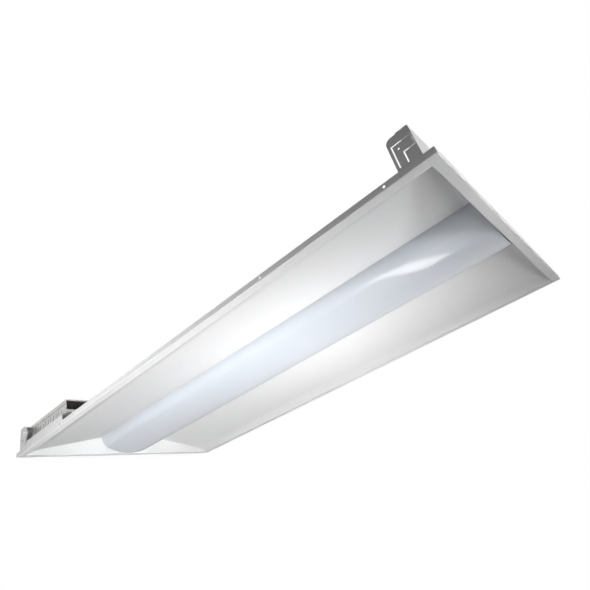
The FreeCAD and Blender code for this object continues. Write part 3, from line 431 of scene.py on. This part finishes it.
def trough_line(inset):
    """Half of the lens's section, from the ledge to the middle, moved in by an inset.

    The broad arc touches the tight one, so its radius is
    (arm * arm + depth * depth - side * side) / (2 * (depth - side)).
    """
    arm = LENS_HALF - SIDE_RADIUS
    depth = LENS_SPRING - LENS_BOTTOM
    broad = (arm ** 2 + depth ** 2 - SIDE_RADIUS ** 2) / (2 * (depth - SIDE_RADIUS))
    middle = LENS_BOTTOM + broad
    swing = math.atan2(middle - LENS_SPRING, arm)
    tight = np.linspace(0, swing, TIGHT_STEPS)
    wide = np.linspace(swing, math.pi / 2, BROAD_STEPS)[1:]
    across = np.concatenate([[LENS_LEDGE, LENS_HALF - inset],
                             arm + (SIDE_RADIUS - inset) * np.cos(tight),
                             (broad - inset) * np.cos(wide)])
    upward = np.concatenate([[LENS_TOP + inset] * 2,
                             LENS_SPRING - (SIDE_RADIUS - inset) * np.sin(tight),
                             middle - (broad - inset) * np.sin(wide)])
    return np.stack([across, upward], axis=1)


def trough_grid():
    """The whole section, outer line and inner line, at several places along the light."""
    mirror = np.array([-1.0, 1.0])
    outer, inner = trough_line(0.0), trough_line(LENS_WALL)
    section = np.concatenate([outer, outer[-2::-1] * mirror, inner * mirror, inner[-2::-1]])
    low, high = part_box("lens")
    along = np.linspace(low[0], high[0], LENS_RINGS)
    grid = np.empty((LENS_RINGS, len(section), 3))
    grid[..., 0] = along[:, None]
    grid[..., 1:] = section * MILLIMETRE
    return grid[:, ::-1]


redraw("lens", [trough_grid()])

# %% [markdown]
# ## Screws
# The sheets are held by short sheet-metal screws. Rings run from the middle of the
# head's face out to the rim, down its flats to the seat, and along the thread to the
# point. A six-sided head stands on the sheet. A flush head is round and lower, and its
# cross is shallower.

# %% Rings of a screw
HEAD_RADIUS = 3.2 * MILLIMETRE
HEAD_RISE = 1.6 * MILLIMETRE
FLUSH_RISE = 0.8 * MILLIMETRE
SHANK_RADIUS = 1.6 * MILLIMETRE
THREAD_PITCH = 1.06 * MILLIMETRE
THREAD_DEPTH = 0.35 * MILLIMETRE
POINT_LENGTH = 0.9 * MILLIMETRE
POINT_RADIUS = 0.3 * SHANK_RADIUS
RECESS_WIDTH = 0.42 * MILLIMETRE
RECESS_REACH = 1.75 * MILLIMETRE
RECESS_DEPTH = 0.9 * MILLIMETRE
RECESS_EDGE = 0.25 * MILLIMETRE
SCREW_SIDES = 48
ANGLES = -np.linspace(0, 2 * math.pi, SCREW_SIDES, endpoint=False)
FACE_START = 0.02
HEX_CROWN, FLUSH_CROWN = 0.88, 0.99
FLUSH_RIM = 0.97
FLUSH_CROSS = 0.7
FACE_RINGS = 16
THREAD_RINGS = 30
SIXTH = math.pi / 3


def screw_rings(length, flush):
    """Radius, depth under the face, and how much is face, hexagon and thread, ring by ring."""
    seat = FLUSH_RISE if flush else HEAD_RISE
    crown = HEAD_RADIUS * (FLUSH_CROWN if flush else HEX_CROWN)
    face = np.linspace(FACE_START * HEAD_RADIUS, crown, FACE_RINGS)
    rim = [HEAD_RADIUS, HEAD_RADIUS * (FLUSH_RIM if flush else 1), SHANK_RADIUS]
    rim_depth = [0.03 * seat, 0.2 * seat, seat] if flush else [0.22 * seat, seat, seat]
    shank_depth = np.linspace(seat, length - POINT_LENGTH, THREAD_RINGS)
    shank = np.full(THREAD_RINGS, SHANK_RADIUS)
    radius = np.concatenate([face, rim, shank, [POINT_RADIUS]])
    depth = np.concatenate([0 * face, rim_depth, shank_depth, [length]])
    kinds = [FACE_RINGS, len(rim), THREAD_RINGS, 1]
    is_face = np.repeat([1, 0, 0, 0], kinds)
    hexagon = np.concatenate([face / crown, [1, 1, 0], np.zeros(THREAD_RINGS + 1)])
    threaded = np.repeat([0, 0, 1, 0], kinds)
    return radius, depth, is_face, hexagon * (not flush), threaded


print("rings in a screw:", screw_rings(8 * MILLIMETRE, False)[0].size)

# %% [markdown]
# ## Cross recesses and threads
# Three sums turn plain rings into a screw: a hexagon's flats pull the rim in, a cross is
# sunk into the face, and a ridge climbs the shank by one pitch for every turn.

# %% A screw from its rings


def bar(along, across):
    """1 inside one bar of the cross, 0 outside, sloping over the recess's edge."""
    inside = np.clip((RECESS_REACH - np.abs(along)) / RECESS_EDGE, 0, 1)
    return inside * np.clip((RECESS_WIDTH + RECESS_EDGE - np.abs(across)) / RECESS_EDGE, 0, 1)


def screw_grid(place, way, length, flush):
    """A screw whose face is at a place and faces a way.

    A hexagon's edge is cos(30 degrees) / cos(angle from the middle of the flat) of its
    corner's radius. The thread is a triangle wave of depth / pitch + angle / one turn.
    """
    radius, depth, is_face, hexagon, threaded = (
        column[:, None] for column in screw_rings(length, flush))
    flat = math.cos(SIXTH / 2) / np.cos(np.mod(ANGLES, SIXTH) - SIXTH / 2)
    turns = depth / THREAD_PITCH + ANGLES / (2 * math.pi)
    groove = np.abs(2 * np.mod(turns, 1) - 1) * THREAD_DEPTH
    reach = radius * (1 + hexagon * (flat - 1)) - threaded * groove
    x = reach * np.cos(ANGLES)
    y = reach * np.sin(ANGLES)
    recess = is_face * np.maximum(bar(x, y), bar(y, x)) * RECESS_DEPTH
    z = -depth - recess * (FLUSH_CROSS if flush else 1)
    first = np.array([1.0, 0.0, 0.0])
    second = np.cross(way, first)
    return place + x[..., None] * first + y[..., None] * second + z[..., None] * np.array(way)


print("a flat is", round(math.cos(SIXTH / 2), 3), "of its corner's radius")

# %% [markdown]
# ## Screws in their places
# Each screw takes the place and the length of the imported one, and a table says which way
# its face looks. The bracket's two are flush, and all the others have six-sided heads.

# %% Every screw of the light
UP, DOWN = (0.0, 0.0, 1.0), (0.0, 0.0, -1.0)
OUT_LEFT, OUT_RIGHT = (0.0, -1.0, 0.0), (0.0, 1.0, 0.0)
SCREWS = {
    "spine_screws": [UP] * 6,
    "end_screws": [UP] * 4,
    "board_screws": [DOWN] * 12,
    "driver_screws": [UP] * 2,
    "tray_screws": [UP] * 2,
    "ground_screw": [UP],
    "lid_screws": [OUT_LEFT, OUT_RIGHT],
    "bracket_screws": [OUT_LEFT] * 2,
}


def screws_like(node, ways):
    """A fine screw in the place of each packed one, as long as that is."""
    grids = []
    for way, low, high in zip(ways, *solids_of(node, len(ways))):
        way = np.array(way)
        place = (low + high) / 2 + way * (high - low) / 2
        grids.append(screw_grid(place, way, np.abs(way) @ (high - low), node == "bracket_screws"))
    return grids


for node, ways in SCREWS.items():
    redraw(node, screws_like(node, ways))

# %% [markdown]
# ## Leads
# The two leads that feed the boards run straight, bend up past the tray's wall, and run
# level to the boards' connectors. Each bend is an arc that touches both of its straight
# runs, so the covering is smooth all the way, and a ring of points is swept along it.

# %% Round leads
LEAD_RADIUS = 1.0 * MILLIMETRE
LEAD_BEND = 34 * MILLIMETRE
LEAD_SIDES = 24
BEND_STEPS = 14
STRAIGHT_RINGS = 6
LEAD_ROUTE = np.array([(-206.0, 48.5), (-150.0, 48.5), (-112.0, 63.8), (-53.0, 63.8)]) * MILLIMETRE


def bend_points(before, corner, after):
    """An arc that touches both runs: it starts bend * tan(half the turn) before the corner."""
    ahead = (corner - before) / np.linalg.norm(corner - before)
    leaving = (after - corner) / np.linalg.norm(after - corner)
    turn = math.acos(ahead @ leaving)
    inward = leaving - ahead * (ahead @ leaving)
    inward /= np.linalg.norm(inward)
    start = corner - ahead * LEAD_BEND * math.tan(turn / 2)
    angle = np.linspace(0, turn, BEND_STEPS)[:, None]
    return start + LEAD_BEND * (ahead * np.sin(angle) + inward * (1 - np.cos(angle)))


def tube_grid(path):
    """Rings square to a path that keeps to one upright plane, x staying the same."""
    ahead = np.gradient(path, axis=0)
    ahead /= np.linalg.norm(ahead, axis=1, keepdims=True)
    side = np.array([1.0, 0.0, 0.0])
    above = np.cross(ahead, side)
    angle = np.linspace(0, 2 * math.pi, LEAD_SIDES, endpoint=False)[:, None]
    return path[:, None] + LEAD_RADIUS * (np.cos(angle) * side + np.sin(angle) * above[:, None])


def led_lead(node):
    """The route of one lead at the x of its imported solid."""
    low, high = (np.array(corner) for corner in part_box(node))
    route = LEAD_ROUTE
    flat = np.concatenate([route[:1], bend_points(*route[:3]), bend_points(*route[1:]), route[3:]])
    across = np.full((len(flat), 1), (low + high)[0] / 2)
    return tube_grid(np.concatenate([across, flat], axis=1))


def straight_leads(node, count):
    """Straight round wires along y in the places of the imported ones."""
    grids = []
    for low, high in zip(*solids_of(node, count)):
        path = np.tile((low + high) / 2, (STRAIGHT_RINGS, 1))
        path[:, 1] = np.linspace(low[1], high[1], STRAIGHT_RINGS)
        grids.append(tube_grid(path))
    return grids


for node in ("led_lead_positive", "led_lead_negative"):
    redraw(node, [led_lead(node)])
redraw("row_jumper", straight_leads("row_jumper", 2))
redraw("supply_leads", straight_leads("supply_leads", 3))

# %% [markdown]
# ## Terminal blocks and connectors
# The wires end in small moulded blocks. Each block is drawn from square rings: they
# leave the back face, turn over a small bevel at both edges, and close in on the middle
# of the front face. Where the front face meets a wire it sinks into a round socket.

# %% A block with a socket for every wire
BLOCK_AROUND = 96
SIDE_RINGS, FRONT_RINGS = 4, 34
FRONT_START, FRONT_END = 0.99, 0.02
BEVEL = 0.3 * MILLIMETRE
SOCKET_DEPTH = 1.2 * MILLIMETRE
SOCKET_EDGE = 0.25 * MILLIMETRE


def side_to_side(turn):
    """One axis of a square's outline: 8 * (distance from half a turn) - 2, cut off at 1 and -1."""
    return np.clip(8 * np.abs(np.mod(turn, 1) - 0.5) - 2, -1, 1)


def block_grid(low, high, way, sockets, radius):
    """Square rings from the back face to the middle of the front, with a socket at each place."""
    way = np.array(way)
    deep = int(np.argmax(np.abs(way)))
    wide, tall = (deep + 1) % 3, (deep + 2) % 3
    half = (high - low) / 2
    turn = np.arange(BLOCK_AROUND) / BLOCK_AROUND
    inset = np.concatenate([[BEVEL, 0, 0, BEVEL], np.full(FRONT_RINGS, BEVEL)])[:, None]
    shrink = np.concatenate([np.ones(SIDE_RINGS),
                             np.linspace(FRONT_START, FRONT_END, FRONT_RINGS)])[:, None]
    height = np.concatenate([[-half[deep], BEVEL - half[deep], half[deep] - BEVEL],
                             np.full(FRONT_RINGS + 1, half[deep])])
    grid = np.zeros((len(height), BLOCK_AROUND, 3))
    grid[..., wide] = side_to_side(turn) * (half[wide] - inset) * shrink
    grid[..., tall] = side_to_side(turn - 0.25) * (half[tall] - inset) * shrink * way[deep]
    grid[..., deep] = height[:, None] * way[deep]
    grid += (low + high) / 2
    sunk = np.zeros(grid.shape[:2])
    for socket in sockets:
        away = np.linalg.norm((grid - np.array(socket) * MILLIMETRE) * (1 - np.abs(way)), axis=-1)
        sunk = np.maximum(sunk, np.clip((radius - away) / SOCKET_EDGE, 0, 1))
    sunk[:SIDE_RINGS] = 0
    return grid - sunk[..., None] * SOCKET_DEPTH * way


print("points in a block:", (SIDE_RINGS + FRONT_RINGS) * BLOCK_AROUND)

# %% [markdown]
# ## Blocks in their places
# Every block has one socket for each wire that enters it, at the wire's own place. The
# links between the boards are plugged in from below, and the other blocks from the sides.

# %% Every terminal block and connector
LEAD_X = (-401.0, -395.0)
SUPPLY_X = (-545.4, -542.0, -538.6)
IN_BOARD, TO_DRIVER, TO_SUPPLY = 63.8, 48.5, 41.0
LINK_X = (-10.0, -6.0, 6.0, 10.0)
LINK_Y = (-35, 35)
BLOCKS = {
    # node: the way each block faces, its sockets in millimetres, and their radius
    "output_terminals": ([OUT_RIGHT], [(x, 0, TO_DRIVER) for x in LEAD_X], 1.6),
    "input_terminals": ([OUT_LEFT], [(x, 0, TO_SUPPLY) for x in SUPPLY_X], 1.5),
    "supply_connector": ([OUT_RIGHT], [(x, 0, TO_SUPPLY) for x in SUPPLY_X], 1.5),
    "row_connectors": ([OUT_LEFT, OUT_RIGHT, OUT_LEFT],
                       [(x, 0, IN_BOARD) for x in LEAD_X], 1.3),
    "board_links": ([DOWN, DOWN], [(x, y, 0) for x in LINK_X for y in LINK_Y], 1.2),
}
for node, (ways, sockets, radius) in BLOCKS.items():
    redraw(node, [block_grid(low, high, way, sockets, radius * MILLIMETRE)
                  for way, low, high in zip(ways, *solids_of(node, len(ways)))])

# %% [markdown]
# ## A white background
# The world is white to the camera, to mirrors and to glass, and sends only a faint plain
# light to everything else, so that the lamps shape the sheet. A pale floor lies far below
# and glows by itself.

# %% World and floor
FLOOR_LEVEL = -2.4
FLOOR_SIZE = 14.0
FLOOR_GLOW = 0.75
AMBIENT = 0.02


def white_world():
    """Strength 1 for a ray that is seen, mirrored or sent through glass, else the ambient."""
    world = bpy.data.worlds.new("studio")
    world.use_nodes = True
    graph = Graph(world.node_tree)
    seen, mirrored, through = (
        graph.node("ShaderNodeLightPath", {}, {}, ray)
        for ray in ("Is Camera Ray", "Is Glossy Ray", "Is Transmission Ray"))
    white = seen.at_least(mirrored).at_least(through)
    back = graph.tree.nodes["Background"]
    graph.feed(back.inputs["Color"], colour(1.0, 1.0, 1.0))
    graph.feed(back.inputs["Strength"], white + (1 - white) * AMBIENT)
    bpy.context.scene.world = world


def studio_floor():
    """A square of paper far below the light. It looks pale but sends no light back up."""
    half = FLOOR_SIZE / 2
    mesh = bpy.data.meshes.new("studio_floor")
    mesh.from_pydata([(-half, -half, FLOOR_LEVEL), (half, -half, FLOOR_LEVEL),
                      (half, half, FLOOR_LEVEL), (-half, half, FLOOR_LEVEL)], [], [(0, 1, 2, 3)])
    floor = bpy.data.objects.new("studio_floor", mesh)
    bpy.context.scene.collection.objects.link(floor)
    paper = moulded("floor_paper", (0.84, 0.84, 0.84), (0.88, 0.88, 0.88), 0.8)
    glow = paper.node_tree.nodes["Principled BSDF"].inputs
    glow["Emission Color"].default_value = colour(1.0, 1.0, 1.0)
    glow["Emission Strength"].default_value = FLOOR_GLOW
    mesh.materials.append(paper)
    floor.visible_diffuse = False
    floor.visible_glossy = False


white_world()
studio_floor()
print("floor:", FLOOR_SIZE, "m wide,", -FLOOR_LEVEL, "m below")

# %% [markdown]
# ## Soft boxes
# Area lamps that the camera doesn't see give the soft gradients on the enamel. Most stand
# below and beside the light, and three over and behind it for its top. One long strip is
# only mirrored, and draws the bright streak along the lens.

# %% Lamps
LONG_WAY = Vector((0.27, 0.96, 0.0))
STRIP = "strip"
LAMPS = (
    # name, place, what it faces, width and length, spread in degrees, power in watts
    ("end_high", (1.7, 0.0, -1.1), (0.0, 0.0, 0.0), (0.8, 0.8), 90, 2.0),
    ("far_beam", (2.0, -0.5, -0.7), (-0.35, 0.0, 0.0), (0.5, 0.5), 24, 1.1),
    ("flange_box", (0.9, -0.6, -0.4), (0.55, -0.2, 0.0), (0.4, 0.4), 60, 0.03),
    ("left_far", (-0.5, -1.2, -0.8), (-0.4, 0.0, 0.0), (0.6, 0.6), 60, 1.1),
    ("left_low", (-0.1, -1.2, -0.5), (-0.1, 0.0, 0.0), (0.5, 0.5), 60, 1.04),
    ("right_box", (0.1, 1.2, -0.8), (0.1, 0.0, 0.0), (0.5, 0.5), 40, 0.33),
    ("under_near", (0.2, 0.0, -0.9), (0.2, 0.0, 0.0), (0.5, 0.5), 40, 0.28),
    ("under_left", (0.15, -0.35, -0.7), (0.15, -0.1, 0.0), (0.4, 0.4), 50, 0.16),
    (STRIP, (0.13, -0.15, -0.8), (0.13, -0.15, 0.0), (0.11, 1.05), 180, 3.6),
    ("over_far", (-0.5, 0.5, 1.5), (-0.3, 0.05, 0.0), (0.8, 0.8), 60, 2.3),
    ("over_near", (0.5, 0.5, 1.5), (0.3, 0.05, 0.0), (0.8, 0.8), 60, 2.3),
    ("back", (-2.2, 0.9, 0.5), (-0.6, 0.1, 0.03), (0.8, 0.8), 60, 1.2),
)


def looking(place, ahead, up):
    """A place and three axes: right, an up square to the view, and the way back."""
    back = -ahead.normalized()
    right = up.cross(back).normalized()
    axes = Matrix((right, back.cross(right), back)).transposed()
    return Matrix.Translation(place) @ axes.to_4x4()


def soft_box(name, place, aim, size, spread, power):
    """A lamp that faces a point. The strip is only mirrored, and the others only shine."""
    data = bpy.data.lights.new(name, "AREA")
    data.shape = "RECTANGLE"
    data.size, data.size_y = size
    data.spread = math.radians(spread)
    data.energy = power
    lamp = bpy.data.objects.new(name, data)
    lamp.matrix_world = looking(Vector(place), Vector(aim) - Vector(place), LONG_WAY)
    lamp.visible_camera = False
    lamp.visible_glossy = name == STRIP
    lamp.visible_diffuse = name != STRIP
    bpy.context.scene.collection.objects.link(lamp)


for lamp in LAMPS:
    soft_box(*lamp)
print("lamps:", len(LAMPS))

# %% [markdown]
# ## The camera
# The four corners of the flange in the photograph fix where the camera stood: below the
# near left corner, looking up along the light, with a wide lens and rolled to the side.
# The place and the two directions come from that fit.

# %% Camera
CAMERA_PLACE = Vector((0.6811, -0.7682, -0.3666))
CAMERA_AHEAD = Vector((-0.50577, 0.71912, 0.47652))
CAMERA_UP = Vector((0.4783, -0.22594, 0.84863))
PHOTO_SIZE = 590
FOCAL_PIXELS = 461.18
SENSOR_WIDTH = 36.0
CLIP_NEAR, CLIP_FAR = 0.01, 60.0


def photo_camera():
    """A camera at that place. Its focal length is pixels * sensor width / picture width."""
    data = bpy.data.cameras.new("photo_camera")
    data.sensor_width = SENSOR_WIDTH
    data.lens = FOCAL_PIXELS * SENSOR_WIDTH / PHOTO_SIZE
    data.clip_start = CLIP_NEAR
    data.clip_end = CLIP_FAR
    camera = bpy.data.objects.new("photo_camera", data)
    camera.matrix_world = looking(CAMERA_PLACE, CAMERA_AHEAD, CAMERA_UP)
    bpy.context.scene.collection.objects.link(camera)
    bpy.context.scene.camera = camera
    print("lens:", round(data.lens, 2), "mm")


photo_camera()
bpy.context.scene.view_settings.view_transform = "Standard"
